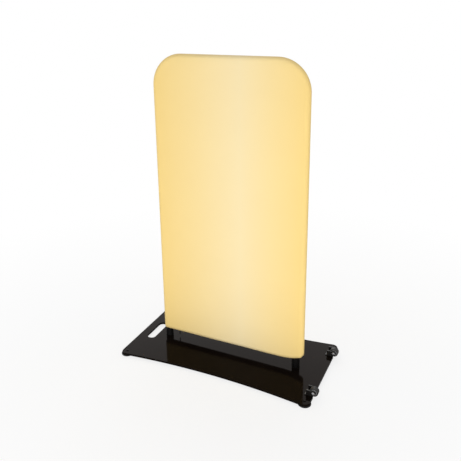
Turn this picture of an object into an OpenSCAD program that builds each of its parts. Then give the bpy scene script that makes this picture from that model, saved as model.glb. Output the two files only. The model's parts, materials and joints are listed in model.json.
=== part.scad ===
// Pavement sign: a steel base plate with wheels, a tube frame on spigots and a zipped textile cover.
// Z is up, X runs along the plate with the wheels at +X, and the sign's front faces -Y.

/* [Base plate] */
// Length of the plate along X
plate_length = 776; // [740:1:900]
// Depth of the plate at its ends, along Y
plate_depth = 398; // [370:1:460]
// Depth of the plate at its waist
waist_depth = 350; // [330:1:390]
// Thickness of the steel
plate_thickness = 8; // [6:0.5:12]
// Radius of the plate's four corners
corner_radius = 20; // [14:1:26]
// Width of the hand slot
slot_width = 36; // [30:1:44]
// Length of the hand slot
slot_length = 124; // [90:1:140]
// Distance from the plate's end to the hand slot
slot_inset = 33; // [26:1:40]

/* [Feet] */
// Height of the rubber feet
foot_height = 5; // [4.5:0.5:8]
// How far a foot's rim stands out past the plate's corner
foot_rim = 3.5; // [2:0.5:5]
// Chamfer on the foot's lower edge
foot_chamfer = 1; // [0.5:0.1:1.5]
// Diameter of the foot screws
foot_screw_d = 5; // [4:0.5:6]
// Height of the thin nut in the foot
foot_nut_height = 2.7; // [2.2:0.1:3]

/* [Frame] */
// Outer diameter of the frame's tube
tube_d = 30; // [28:0.5:32]
// Wall of the frame's tube
tube_wall = 1.5; // [1.2:0.1:1.8]
// Distance between the two legs, centre to centre
leg_spacing = 550; // [500:1:580]
// Length of the two uprights
upright_length = 620; // [500:1:750]
// Bend radius of the bow, at the tube's centre
bend_radius = 100; // [80:1:120]
// Length of the inner sleeve at each tube joint
sleeve_length = 130; // [120:1:150]
// Wall of the inner sleeve
sleeve_wall = 2; // [1.5:0.1:2.5]
// Height of the spigots above the plate
spigot_height = 60; // [50:1:80]
// Diameter of the bolts that hold the spigots
spigot_bolt_d = 8; // [6:0.5:8]

/* [Cover] */
// Height of the cover's top above the plate
cover_top = 1158; // [1050:1:1250]
// Height of the cover's hem above the plate
hem_height = 37; // [34:1:42]
// Thickness of the cloth
cloth = 1; // [0.8:0.1:1.2]
// How far the cover stands off the left leg
slack_left = 2.2; // [1:0.1:4]
// How far the cover stands off the right leg
slack_right = 15.2; // [8:0.1:18]
// How far the hem rises at its eased right corner
ease_rise = 18; // [12:1:24]
// Length of the eased stretch of the hem
ease_length = 90; // [75:1:100]
// Radius of the cover's eased corner
ease_corner = 15; // [10:1:18]

/* [Zip] */
// Distance from the left leg to the zip's closed end
zip_inset = 24; // [20:1:40]
// Width of both rows of teeth
teeth_width = 6.4; // [5.5:0.1:7]
// Height of the teeth
teeth_height = 2.2; // [1.8:0.1:2.6]
// Thickness of the zip's tape
tape_thickness = 0.8; // [0.6:0.1:0.9]
// Length of the zip slider
slider_length = 12; // [11:0.5:14]
// Length of the zip pull below its pivot
pull_length = 27; // [20:0.5:32]
// Width of the zip pull
pull_width = 5; // [4.8:0.1:6]

/* [Wheels] */
// Diameter of the wheels
wheel_d = 32; // [30:0.5:34]
// Width of the wheels
wheel_width = 20; // [16:0.5:22]
// Distance from the plate's side to the middle of each wheel
wheel_inset = 67; // [60:1:80]
// Height of the axle above the plate
axle_height = 13; // [12:0.5:14]
// Diameter of the axle bolts
axle_d = 6; // [5:0.5:6]
// Thickness of the wheel brackets' metal
bracket_wall = 3; // [2.5:0.1:3.5]
// Gap between a wheel and each ear of its bracket
wheel_side_gap = 2.5; // [2.2:0.1:3]
// Height of the bracket's ears
ear_height = 22; // [20:0.5:23]
// Length of the bracket's ears behind the axle
ear_back = 26; // [24:0.5:30]

/* [Fits] */
// Radial gap between a spigot and the tube
spigot_gap = 0.1; // [0.05:0.05:0.1]
// Radial gap between a wheel bush and its axle
axle_gap = 0.08; // [0.05:0.01:0.1]
// Radial gap of a fixed piece in its seat
seat_gap = 0.05; // [0.03:0.01:0.1]
// Gap between the tube and the cloth
cloth_gap = 0.3; // [0.3:0.1:0.6]
// Gap round a small moving piece
run_gap = 0.3; // [0.25:0.05:0.4]

/* [Hidden] */

$fn = 96;
arc_fn = 360;
wide_arc_fn = 1440;
screw_fn = 48;
side = [-1, 1];
// Overrun of every cut
cut = 1;

// A screw's head, nut and socket follow its diameter
head_share = 1.9;
head_height_share = 0.55;
socket_share = 0.6;
countersunk_share = 2;

// The footprint is centred on the origin, so the plate stands a little to the left of it
axle_past_end = 0.5;
plate_x = -(axle_past_end + wheel_d / 2 - foot_rim) / 2;
plate_end = plate_x + plate_length / 2;
plate_top = foot_height + plate_thickness;
corner_x = plate_length / 2 - corner_radius;
corner_y = plate_depth / 2 - corner_radius;
waist_sag = (plate_depth - waist_depth) / 2;
waist_radius = (pow(corner_x, 2) + pow(waist_sag, 2)) / (2 * waist_sag);
slot_x = plate_x - plate_length / 2 + slot_inset + slot_width / 2;
notch_gap = 2.5;
notch_depth = sqrt(pow(wheel_d / 2, 2) - pow(axle_height, 2)) - axle_past_end + notch_gap;
notch_width = wheel_width + 2 * notch_gap;

foot_radius = corner_radius + foot_rim;
nut_recess_gap = 0.6;
foot_recess_d = head_share * foot_screw_d + 2 * nut_recess_gap;
foot_recess = foot_nut_height + nut_recess_gap;

tube_r = tube_d / 2;
bore_r = tube_r - tube_wall;
leg_x = [for (s = side) plate_x + s * leg_spacing / 2];
joint_z = plate_top + upright_length;
spigot_r = bore_r - spigot_gap;
spigot_nose = 3;
bolt_recess = 0.4;
bolt_sink = (countersunk_share - 1) * spigot_bolt_d / 2;
bolt_depth = 26;

// The cover runs over a path that its edge band is rounded about, and is wider than the frame
lining_r = tube_r + cloth_gap;
wrap_r = lining_r + cloth;
cover_x = [leg_x[0] - wrap_r - slack_left, leg_x[1] + wrap_r + slack_right];
path_x = [cover_x[0] + wrap_r, cover_x[1] - wrap_r];
hem_z = plate_top + hem_height;
path_z = plate_top + cover_top - wrap_r;
bend_z = path_z - bend_radius;
ease_x = cover_x[1] - ease_length;
ease_radius = (pow(ease_length, 2) + pow(ease_rise, 2)) / (2 * ease_rise);
// The corner's arc runs out past the cloth, so that it crosses the band and doesn't only touch it
ease_corner_over = 1.5;
ease_corner_x = cover_x[1] + ease_corner_over - ease_corner;
ease_reach = ease_corner_x - ease_x;
ease_corner_z = hem_z + ease_radius - sqrt(pow(ease_radius - ease_corner, 2) - pow(ease_reach, 2));
ease_touch_x = ease_x + ease_reach * ease_radius / (ease_radius - ease_corner);

sleeve_r = bore_r - seat_gap;
sleeve_bore_r = sleeve_r - sleeve_wall;
button_r = 4;
button_gap = 0.25;
button_z = joint_z - sleeve_length / 4;
button_proud = 3;
button_nose = 1;
leaf_thickness = 0.8;
leaf_width = 8;
leaf_above = 6;
leaf_below = 18;
leaf_face = sqrt(pow(sleeve_bore_r, 2) - pow(leaf_width / 2, 2)) - run_gap;
rivet_r = 2.4;
rivet_head_r = 4.5;
rivet_head = 1.2;
rivet_tail_r = 3.4;
rivet_tail = 2;
rivet_tail_face = sqrt(pow(sleeve_bore_r, 2) - pow(rivet_tail_r, 2));
rivet_z = joint_z + sleeve_length / 4;

// The zip lies along the hem, with its tapes sewn on the upper side of the two facings
teeth_slit = 1.6;
tape_z = hem_z + cloth;
teeth_z = tape_z + (tape_thickness - teeth_height) / 2;
tape_shown = 2.4;
tape_sewn = 7;
facing_edge = teeth_width / 2 + tape_shown;
facing_x = leg_x[0] + lining_r;
zip_x = facing_x + zip_inset;
tape_overrun = 10;
stop_length = 2.5;
stop_proud = 0.4;
slider_rest_gap = 0.5;
slider_x = zip_x + stop_length + slider_rest_gap + slider_length / 2;
flange = 0.9;
wing = 1.2;
slider_half = teeth_width / 2 + run_gap + flange;
slider_post = 1;
slider_post_length = 3;
wing_under = teeth_z - run_gap - wing;
bridge_half = 4;
bridge_width = 2.4;
bridge_bar = 1;
pivot_r = 0.6;
pivot_gap = 0.2;
pivot_z = wing_under - pivot_gap - pivot_r;
bridge_rise = bridge_bar + 2 * pivot_r + 2 * pivot_gap;
eye_gap = 0.4;
eye_half = bridge_width / 2 + eye_gap;
eye_length = 5.4;

axle_x = plate_end + axle_past_end;
axle_z = plate_top + axle_height;
wheel_y = [for (s = side) s * (plate_depth / 2 - wheel_inset)];
wheel_r = wheel_d / 2;
wheel_half = wheel_width / 2;
fork_inner = wheel_width + 2 * wheel_side_gap;
fork_outer = fork_inner + 2 * bracket_wall;
ear_nose = 9;
base_tail = 5;
base_front = wheel_r;
tyre_depth = 4.5;
tyre_bore_r = wheel_r - tyre_depth;
tyre_edge = 1.6;
hub_boss_r = 6;
hub_proud = 0.4;
hub_web = 4;
hub_rim = 1.8;
bush_wall = 1.4;
bush_r = axle_d / 2 + axle_gap + bush_wall;
washer_r = 5.5;
washer_thickness = 1.5;
axle_nut = 5;
thread_proud = 1;
bracket_screw_d = 4;
bracket_screw_inset = 2.5;
bracket_screw_x = axle_x - ear_back + bracket_screw_inset;
bracket_screw_y = 6.5;

// A tube that stands on z = 0
module ring(outer_r, inner_r, height) {
  difference() {
    cylinder(r = outer_r, h = height);
    translate([0, 0, -cut]) cylinder(r = inner_r, h = height + 2 * cut);
  }
}

// A hexagon prism that stands on z = 0, measured across its corners
module hexagon(across, height) {
  cylinder(d = across, h = height, $fn = 6);
}

// A hole along Z from -cut up to a depth
module hole(diameter, depth) {
  translate([0, 0, -cut]) cylinder(d = diameter + 2 * seat_gap, h = depth + 2 * cut, $fn = screw_fn);
}

// A button-head screw: the head stands on z = 0 and the shank hangs below it
module button_screw(diameter, shank) {
  head_d = head_share * diameter;
  head = head_height_share * diameter;
  difference() {
    union() {
      cylinder(d = head_d, h = head / 2, $fn = screw_fn);
      translate([0, 0, head / 2])
        cylinder(d1 = head_d, d2 = (head_d + diameter) / 2, h = head / 2, $fn = screw_fn);
    }
    translate([0, 0, head / 2]) hexagon(socket_share * diameter, head);
  }
  translate([0, 0, -shank]) cylinder(d = diameter, h = shank, $fn = screw_fn);
}

// A hexagon nut that stands on z = 0
module nut(diameter, height) {
  difference() {
    hexagon(head_share * diameter, height);
    hole(diameter, height);
  }
}

// The plate's outline without its waist: two crossed bars and four round corners
module plate_outline() {
  square([plate_length, 2 * corner_y], center = true);
  square([2 * corner_x, plate_depth], center = true);
  for (sx = side, sy = side) translate([sx * corner_x, sy * corner_y]) circle(r = corner_radius);
}

// The hand slot's outline, with round ends
module slot_outline() {
  straight = slot_length - slot_width;
  square([slot_width, straight], center = true);
  for (s = side) translate([0, s * straight / 2]) circle(d = slot_width);
}

// Places a piece at each corner of the plate
module at_corners() {
  for (sx = side, sy = side) translate([plate_x + sx * corner_x, sy * corner_y, 0]) children();
}

// Places a piece at each bracket screw
module at_bracket_screws() {
  for (y = wheel_y, s = side) translate([bracket_screw_x, y + s * bracket_screw_y, 0]) children();
}

// The countersunk hole for a spigot bolt, with its mouth at z = 0
module bolt_seat() {
  head_d = countersunk_share * spigot_bolt_d + 2 * seat_gap;
  hole(spigot_bolt_d, plate_thickness);
  translate([0, 0, -cut]) cylinder(d = head_d, h = bolt_recess + cut);
  translate([0, 0, bolt_recess]) cylinder(d1 = head_d, d2 = spigot_bolt_d + 2 * seat_gap, h = bolt_sink);
}

module base_plate() {
  color([0.13, 0.12, 0.11]) difference() {
    translate([0, 0, foot_height]) linear_extrude(plate_thickness) difference() {
      translate([plate_x, 0]) plate_outline();
      for (s = side) translate([plate_x, s * (waist_depth / 2 + waist_radius)])
        circle(r = waist_radius, $fn = wide_arc_fn);
      translate([slot_x, 0]) slot_outline();
      for (y = wheel_y) translate([plate_end, y]) square([2 * notch_depth, notch_width], center = true);
    }
    at_corners() translate([0, 0, foot_height]) hole(foot_screw_d, plate_thickness);
    for (x = leg_x) translate([x, 0, foot_height]) bolt_seat();
    at_bracket_screws() translate([0, 0, foot_height]) hole(bracket_screw_d, plate_thickness);
  }
}

module rubber_feet() {
  color([0.06, 0.06, 0.06]) at_corners() difference() {
    union() {
      cylinder(r1 = foot_radius - foot_chamfer, r2 = foot_radius, h = foot_chamfer);
      translate([0, 0, foot_chamfer]) cylinder(r = foot_radius, h = foot_height - foot_chamfer);
    }
    hole(foot_screw_d, foot_height);
    translate([0, 0, -cut]) cylinder(d = foot_recess_d, h = foot_recess + cut);
  }
}

module foot_screws() {
  color([0.10, 0.09, 0.09]) at_corners() translate([0, 0, plate_top])
    button_screw(foot_screw_d, plate_top - foot_recess + foot_nut_height);
}

module foot_nuts() {
  color([0.55, 0.55, 0.56]) at_corners() translate([0, 0, foot_recess - foot_nut_height])
    nut(foot_screw_d, foot_nut_height);
}

// A spigot on the plate, with a blind hole for its bolt
module spigot(x) {
  color([0.60, 0.61, 0.62]) translate([x, 0, plate_top]) difference() {
    union() {
      cylinder(r = spigot_r, h = spigot_height - spigot_nose);
      translate([0, 0, spigot_height - spigot_nose])
        cylinder(r1 = spigot_r, r2 = spigot_r - spigot_nose, h = spigot_nose);
    }
    hole(spigot_bolt_d, bolt_depth);
  }
}

module spigot_left() {
  spigot(leg_x[0]);
}

module spigot_right() {
  spigot(leg_x[1]);
}

module spigot_bolts() {
  shank = plate_thickness - bolt_recess - bolt_sink + bolt_depth;
  color([0.30, 0.30, 0.31]) for (x = leg_x) translate([x, 0, foot_height + bolt_recess]) {
    difference() {
      cylinder(d1 = countersunk_share * spigot_bolt_d, d2 = spigot_bolt_d, h = bolt_sink);
      translate([0, 0, -cut]) hexagon(socket_share * spigot_bolt_d, cut + bolt_sink / 2);
    }
    translate([0, 0, bolt_sink]) cylinder(d = spigot_bolt_d, h = shank, $fn = screw_fn);
  }
}

// One ear of a wheel bracket, as an outline in X and Z measured from the axle
module ear_outline() {
  difference() {
    union() {
      translate([-ear_back, -axle_height]) square([ear_back, ear_height]);
      circle(r = ear_nose);
    }
    circle(d = axle_d + 2 * seat_gap);
  }
}

// Places a piece at a wheel's middle, with its own Z axis along the axle towards the front
module at_wheel(y) {
  translate([axle_x, y, axle_z]) rotate([90, 0, 0]) children();
}

module wheel_bracket(y) {
  color([0.08, 0.07, 0.07]) difference() {
    union() {
      at_wheel(y) for (s = side) translate([0, 0, (s * (fork_inner + bracket_wall) - bracket_wall) / 2])
        linear_extrude(bracket_wall) ear_outline();
      translate([axle_x - ear_back - base_tail, y - fork_outer / 2, plate_top])
        cube([ear_back + base_tail - base_front, fork_outer, bracket_wall]);
    }
    at_bracket_screws() translate([0, 0, plate_top]) hole(bracket_screw_d, bracket_wall);
  }
}

module wheel_bracket_near() {
  wheel_bracket(wheel_y[0]);
}

module wheel_bracket_far() {
  wheel_bracket(wheel_y[1]);
}

module bracket_screws() {
  color([0.10, 0.09, 0.09]) at_bracket_screws() translate([0, 0, plate_top + bracket_wall])
    button_screw(bracket_screw_d, bracket_wall + plate_thickness - thread_proud);
}

module wheel_hub(y) {
  r = tyre_bore_r - seat_gap;
  bore = bush_r + seat_gap;
  end = wheel_half + hub_proud;
  lip = wheel_half - tyre_edge / 2;
  color([0.30, 0.30, 0.31]) at_wheel(y) rotate_extrude() polygon([
    [bore, -end], [hub_boss_r, -end], [hub_boss_r, -hub_web / 2], [r - hub_rim, -hub_web / 2],
    [r - hub_rim, -lip], [r, -lip], [r, lip], [r - hub_rim, lip],
    [r - hub_rim, hub_web / 2], [hub_boss_r, hub_web / 2], [hub_boss_r, end], [bore, end]
  ]);
}

module wheel_hub_near() {
  wheel_hub(wheel_y[0]);
}

module wheel_hub_far() {
  wheel_hub(wheel_y[1]);
}

module wheel_tyre(y) {
  lip = wheel_half - tyre_edge / 2;
  color([0.16, 0.16, 0.16]) at_wheel(y) rotate_extrude() polygon([
    [tyre_bore_r, -lip], [wheel_r - tyre_edge, -wheel_half], [wheel_r, -wheel_half + tyre_edge],
    [wheel_r, wheel_half - tyre_edge], [wheel_r - tyre_edge, wheel_half], [tyre_bore_r, lip]
  ]);
}

module wheel_tyre_near() {
  wheel_tyre(wheel_y[0]);
}

module wheel_tyre_far() {
  wheel_tyre(wheel_y[1]);
}

module wheel_bush(y) {
  length = wheel_width + 2 * hub_proud;
  color([0.75, 0.62, 0.35]) at_wheel(y) translate([0, 0, -length / 2])
    ring(bush_r, axle_d / 2 + axle_gap, length);
}

module wheel_bush_near() {
  wheel_bush(wheel_y[0]);
}

module wheel_bush_far() {
  wheel_bush(wheel_y[1]);
}

module axle_bolts() {
  color([0.66, 0.66, 0.67]) for (y = wheel_y) at_wheel(y) translate([0, 0, fork_outer / 2])
    button_screw(axle_d, fork_outer + axle_nut + thread_proud);
}

module axle_nuts() {
  color([0.62, 0.62, 0.63]) for (y = wheel_y) at_wheel(y) translate([0, 0, -fork_outer / 2 - axle_nut])
    nut(axle_d, axle_nut);
}

module wheel_washers() {
  color([0.70, 0.70, 0.71]) for (y = wheel_y) at_wheel(y) for (s = side)
    translate([0, 0, (s * (fork_inner - washer_thickness) - washer_thickness) / 2])
      ring(washer_r, axle_d / 2 + seat_gap, washer_thickness);
}

// Turns a piece along Z to point from leg i towards the other leg
module inward(i) {
  rotate([0, -side[i] * 90, 0]) children();
}

// A hole through the wall of leg i on the side that faces the other leg
module inward_hole(i, radius) {
  inward(i) cylinder(r = radius, h = tube_r + cut, $fn = screw_fn);
}

module upright(i) {
  color([0.05, 0.05, 0.05]) translate([leg_x[i], 0, 0]) difference() {
    translate([0, 0, plate_top]) ring(tube_r, bore_r, upright_length);
    translate([0, 0, button_z]) inward_hole(i, button_r + button_gap);
  }
}

module upright_left() {
  upright(0);
}

module upright_right() {
  upright(1);
}

module tube_section() {
  difference() {
    circle(r = tube_r);
    circle(r = bore_r);
  }
}

// Sweeps a section through a quarter bend in X and Z: s = -1 bends over the left leg, 1 over the right
module quarter_bend(s) {
  rotate([0, 0, s < 0 ? 180 : 0]) rotate([90, 0, 0])
    rotate_extrude(angle = 90, $fn = arc_fn) translate([bend_radius, 0]) children();
}

module top_bow() {
  color([0.05, 0.05, 0.05]) difference() {
    union() {
      for (x = leg_x) translate([x, 0, joint_z]) linear_extrude(bend_z - joint_z) tube_section();
      for (i = [0, 1]) translate([leg_x[i] - side[i] * bend_radius, 0, bend_z])
        quarter_bend(side[i]) tube_section();
      translate([leg_x[0] + bend_radius, 0, path_z]) rotate([0, 90, 0])
        linear_extrude(leg_spacing - 2 * bend_radius) tube_section();
    }
    for (i = [0, 1]) translate([leg_x[i], 0, rivet_z]) inward_hole(i, rivet_r + seat_gap);
  }
}

module joint_sleeve(i) {
  color([0.62, 0.63, 0.64]) translate([leg_x[i], 0, 0]) difference() {
    translate([0, 0, joint_z - sleeve_length / 2]) ring(sleeve_r, sleeve_bore_r, sleeve_length);
    translate([0, 0, button_z]) inward_hole(i, button_r + button_gap);
    translate([0, 0, rivet_z]) inward_hole(i, rivet_r + seat_gap);
  }
}

module joint_sleeve_left() {
  joint_sleeve(0);
}

module joint_sleeve_right() {
  joint_sleeve(1);
}

module sleeve_rivets() {
  color([0.58, 0.58, 0.59]) for (i = [0, 1]) translate([leg_x[i], 0, rivet_z]) inward(i) {
    translate([0, 0, rivet_tail_face - rivet_tail])
      cylinder(r = rivet_r, h = tube_r + rivet_head - rivet_tail_face + rivet_tail, $fn = screw_fn);
    translate([0, 0, rivet_tail_face - rivet_tail]) cylinder(r = rivet_tail_r, h = rivet_tail, $fn = screw_fn);
    translate([0, 0, tube_r]) cylinder(r = rivet_head_r, h = rivet_head, $fn = screw_fn);
  }
}

// A spring button with the leaf that carries it, pointing inward from leg i
module button(i) {
  stem = tube_r + button_proud - button_nose - leaf_face;
  color([0.66, 0.66, 0.67]) translate([leg_x[i], 0, button_z]) {
    inward(i) translate([0, 0, leaf_face]) {
      cylinder(r = button_r, h = stem, $fn = screw_fn);
      translate([0, 0, stem]) cylinder(r1 = button_r, r2 = button_r - button_nose, h = button_nose, $fn = screw_fn);
    }
    translate([-side[i] * (leaf_face - leaf_thickness / 2), 0, (leaf_above - leaf_below) / 2])
      cube([leaf_thickness, leaf_width, leaf_above + leaf_below], center = true);
  }
}

module button_left() {
  button(0);
}

module button_right() {
  button(1);
}

// The rest of the leaf spring: its fold below the button, and the arm along the tube's other side
module button_spring(i) {
  fold_z = button_z - leaf_below - run_gap;
  arm = leaf_below + run_gap + leaf_above;
  color([0.50, 0.51, 0.53]) translate([leg_x[i], 0, fold_z]) {
    rotate([90, 0, 0]) translate([0, 0, -leaf_width / 2]) difference() {
      ring(leaf_face, leaf_face - leaf_thickness, leaf_width);
      translate([-leaf_face - cut, 0, -cut]) cube([2 * (leaf_face + cut), leaf_face + cut, leaf_width + 2 * cut]);
    }
    translate([side[i] * (leaf_face - leaf_thickness / 2), 0, arm / 2])
      cube([leaf_thickness, leaf_width, arm], center = true);
  }
}

module button_spring_left() {
  button_spring(0);
}

module button_spring_right() {
  button_spring(1);
}

// The flat part of the cover, as an outline in X and Z up to the line that the edge band is rounded about
module sheet_outline() {
  translate([path_x[0], hem_z]) square([path_x[1] - path_x[0], bend_z - hem_z]);
  translate([path_x[0] + bend_radius, hem_z])
    square([path_x[1] - path_x[0] - 2 * bend_radius, path_z - hem_z]);
  for (i = [0, 1]) translate([path_x[i] - side[i] * bend_radius, bend_z]) circle(r = bend_radius, $fn = arc_fn);
}

// What the eased right corner of the hem leaves out
module ease_cut() {
  depth = 2 * (wrap_r + cut);
  reach = ease_length + cut;
  difference() {
    translate([ease_x, -depth / 2, hem_z - cut]) cube([reach, depth, ease_rise + 2 * cut]);
    translate([ease_x, 0, hem_z + ease_radius]) rotate([90, 0, 0])
      cylinder(r = ease_radius, h = depth + 2 * cut, center = true, $fn = wide_arc_fn);
  }
  difference() {
    translate([ease_touch_x, -depth / 2, hem_z - cut])
      cube([cover_x[1] + cut - ease_touch_x, depth, ease_corner_z - hem_z + cut]);
    translate([ease_corner_x, 0, ease_corner_z]) rotate([90, 0, 0])
      cylinder(r = ease_corner, h = depth + 2 * cut, center = true);
  }
}

// One flat face of the cover, lying on y
module cover_sheet(y) {
  color([0.98, 0.87, 0.60]) difference() {
    translate([0, y, 0]) rotate([90, 0, 0]) linear_extrude(cloth) sheet_outline();
    ease_cut();
  }
}

module cover_front() {
  cover_sheet(-lining_r);
}

module cover_back() {
  cover_sheet(wrap_r);
}

// The outer half of the cloth round the tube
module band_section() {
  difference() {
    circle(r = wrap_r);
    circle(r = lining_r);
    translate([-2 * wrap_r, -2 * wrap_r]) square([2 * wrap_r, 4 * wrap_r]);
  }
}

module cover_edge() {
  top = path_x[1] - path_x[0] - 2 * bend_radius;
  color([0.98, 0.86, 0.55]) difference() {
    union() {
      for (i = [0, 1]) translate([path_x[i], 0, hem_z]) rotate([0, 0, i == 0 ? 180 : 0])
        linear_extrude(bend_z - hem_z) band_section();
      for (i = [0, 1]) translate([path_x[i] - side[i] * bend_radius, 0, bend_z])
        quarter_bend(side[i]) band_section();
      translate([path_x[1] - bend_radius, 0, path_z]) rotate([0, -90, 0]) linear_extrude(top) band_section();
    }
    ease_cut();
  }
}

// A strip along the hem from one x to another, between two distances from the middle
module hem_strip(s, from_x, to_x, inner, outer, z, height) {
  translate([from_x, s > 0 ? inner : -outer, z]) cube([to_x - from_x, outer - inner, height]);
}

module hem_facing(s) {
  color([0.93, 0.80, 0.50]) hem_strip(s, facing_x, ease_x, facing_edge, lining_r, hem_z, cloth);
}

module hem_facing_front() {
  hem_facing(-1);
}

module hem_facing_back() {
  hem_facing(1);
}

module zip_tape(s) {
  color([0.12, 0.12, 0.13])
    hem_strip(s, zip_x - tape_overrun, ease_x, teeth_width / 2, facing_edge + tape_sewn, tape_z, tape_thickness);
}

module zip_tape_front() {
  zip_tape(-1);
}

module zip_tape_back() {
  zip_tape(1);
}

module zip_teeth() {
  color([0.20, 0.20, 0.21]) for (s = side)
    hem_strip(s, zip_x + stop_length, ease_x - stop_length, teeth_slit / 2, teeth_width / 2, teeth_z, teeth_height);
}

module zip_stops() {
  color([0.55, 0.55, 0.56]) for (x = [zip_x, ease_x - stop_length])
    translate([x, -teeth_width / 2, teeth_z - stop_proud / 2])
      cube([stop_length, teeth_width, teeth_height + stop_proud]);
}

// One wing of the slider with its two flanges: the flanges reach from the wing towards the tape
module slider_wing(z, flange_z, flange_height) {
  translate([-slider_length / 2, -slider_half, z]) cube([slider_length, 2 * slider_half, wing]);
  for (s = side) translate([-slider_length / 2, s > 0 ? slider_half - flange : -slider_half, flange_z])
    cube([slider_length, flange, flange_height]);
}

module zip_slider() {
  upper = teeth_z + teeth_height + run_gap;
  tape_top = tape_z + tape_thickness + run_gap;
  lower = teeth_z - run_gap;
  color([0.18, 0.18, 0.19]) translate([slider_x, 0, 0]) {
    slider_wing(upper, tape_top, upper - tape_top);
    slider_wing(wing_under, lower, tape_z - run_gap - lower);
    translate([-slider_length / 2, -slider_post / 2, lower]) cube([slider_post_length, slider_post, upper - lower]);
    translate([-bridge_half, -bridge_width / 2, wing_under - bridge_rise]) difference() {
      cube([2 * bridge_half, bridge_width, bridge_rise]);
      translate([bridge_bar, -cut, bridge_bar])
        cube([2 * (bridge_half - bridge_bar), bridge_width + 2 * cut, bridge_rise - bridge_bar]);
    }
  }
}

module zip_pull() {
  tab = pull_length - pull_width / 2;
  color([0.10, 0.10, 0.11]) translate([slider_x, 0, pivot_z]) {
    rotate([90, 0, 90]) translate([0, 0, -pivot_r]) linear_extrude(2 * pivot_r) difference() {
      union() {
        translate([-pull_width / 2, -tab]) square([pull_width, tab]);
        translate([0, -tab]) circle(d = pull_width, $fn = screw_fn);
      }
      translate([-eye_half, -eye_length]) square([2 * eye_half, eye_length + cut]);
    }
    rotate([90, 0, 0]) cylinder(r = pivot_r, h = pull_width, center = true, $fn = screw_fn);
  }
}

base_plate();
rubber_feet();
foot_screws();
foot_nuts();
spigot_left();
spigot_right();
spigot_bolts();
wheel_bracket_near();
wheel_bracket_far();
bracket_screws();
wheel_hub_near();
wheel_hub_far();
wheel_tyre_near();
wheel_tyre_far();
wheel_bush_near();
wheel_bush_far();
axle_bolts();
axle_nuts();
wheel_washers();
upright_left();
upright_right();
top_bow();
joint_sleeve_left();
joint_sleeve_right();
sleeve_rivets();
button_left();
button_right();
button_spring_left();
button_spring_right();
cover_front();
cover_back();
cover_edge();
hem_facing_front();
hem_facing_back();
zip_tape_front();
zip_tape_back();
zip_teeth();
zip_stops();
zip_slider();
zip_pull();
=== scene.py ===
"""Sidewalk sign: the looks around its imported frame.

The frame gives every solid at its real place, in metres. This script dresses it: the textile cover, its hem
and zip, softened edges on plate, wheels and hardware, and a finish for every piece.
"""

import json
import math

import bmesh
import bpy
from mathutils import Matrix, Vector, noise

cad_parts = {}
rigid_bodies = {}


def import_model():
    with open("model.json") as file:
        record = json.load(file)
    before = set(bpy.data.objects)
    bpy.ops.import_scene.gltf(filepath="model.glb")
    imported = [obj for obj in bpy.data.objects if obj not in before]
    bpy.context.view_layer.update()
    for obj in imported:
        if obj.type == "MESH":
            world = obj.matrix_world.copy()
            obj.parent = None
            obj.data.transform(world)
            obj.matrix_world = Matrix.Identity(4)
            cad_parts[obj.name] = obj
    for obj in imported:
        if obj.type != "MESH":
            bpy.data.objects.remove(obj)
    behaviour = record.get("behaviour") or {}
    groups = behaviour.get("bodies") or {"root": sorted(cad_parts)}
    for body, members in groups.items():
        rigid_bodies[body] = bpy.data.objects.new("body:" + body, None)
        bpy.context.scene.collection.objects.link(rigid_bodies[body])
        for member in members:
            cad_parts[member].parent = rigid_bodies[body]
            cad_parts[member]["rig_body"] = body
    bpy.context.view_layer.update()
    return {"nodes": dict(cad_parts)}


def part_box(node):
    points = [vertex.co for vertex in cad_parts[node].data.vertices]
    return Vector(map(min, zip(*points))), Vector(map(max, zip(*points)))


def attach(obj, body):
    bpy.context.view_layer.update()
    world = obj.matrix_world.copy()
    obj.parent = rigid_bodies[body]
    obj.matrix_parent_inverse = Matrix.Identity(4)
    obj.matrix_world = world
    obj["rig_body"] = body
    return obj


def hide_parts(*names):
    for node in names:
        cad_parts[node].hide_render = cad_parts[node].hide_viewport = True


bl_info = {
    "name": "Sidewalk sign",
    "version": (1, 0, 0),
    "blender": (4, 5, 0),
    "location": "View3D > Sidebar > Sidewalk sign",
    "description": "Dresses the frame of a sidewalk sign: cover, zip, plate, wheels, finishes and stage",
    "category": "Object",
}

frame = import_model()
MM = 0.001
SIDES = (-1, 1)

# Sizes of the tube frame, in its CAD too

BEND_RADIUS = 0.1
LEG_RADIUS = 0.015

# Places that the frame gives

SHEET_LOW, SHEET_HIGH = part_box("cover_front")
EDGE_LOW, EDGE_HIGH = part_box("cover_edge")
PATH_X = (SHEET_LOW.x, SHEET_HIGH.x)
HEM_Z = SHEET_LOW.z
PATH_Z = SHEET_HIGH.z
WRAP_RADIUS = EDGE_HIGH.y
CLOTH_THICKNESS = SHEET_HIGH.y - SHEET_LOW.y
BEND_Z = PATH_Z - BEND_RADIUS
LEG_X = tuple(sum(corner.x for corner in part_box(node)) / 2 for node in ("upright_left", "upright_right"))

# The sleeve's fineness: the part near the hem is finer than the rest of a side

HEM_PART = 0.12
SIDE_PART = BEND_Z - HEM_Z - HEM_PART
HEM_STEPS = 12
SIDE_STEPS = 22
BEND_STEPS = 20
TOP_STEPS = 16
BEND_LEVELS = 5
SLEEVE_SMOOTH = 60

# How close two places count as one

MERGE = 1e-6
TOUCH = 1e-5
HEM_TOUCH = 1e-4

# Rounding of the solids' edges

ROUNDING_STEPS = 3
SHARP_ANGLE = math.radians(30)
FLAT_ANGLE = math.radians(0.5)

# Cloth, zip and stitches

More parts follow.
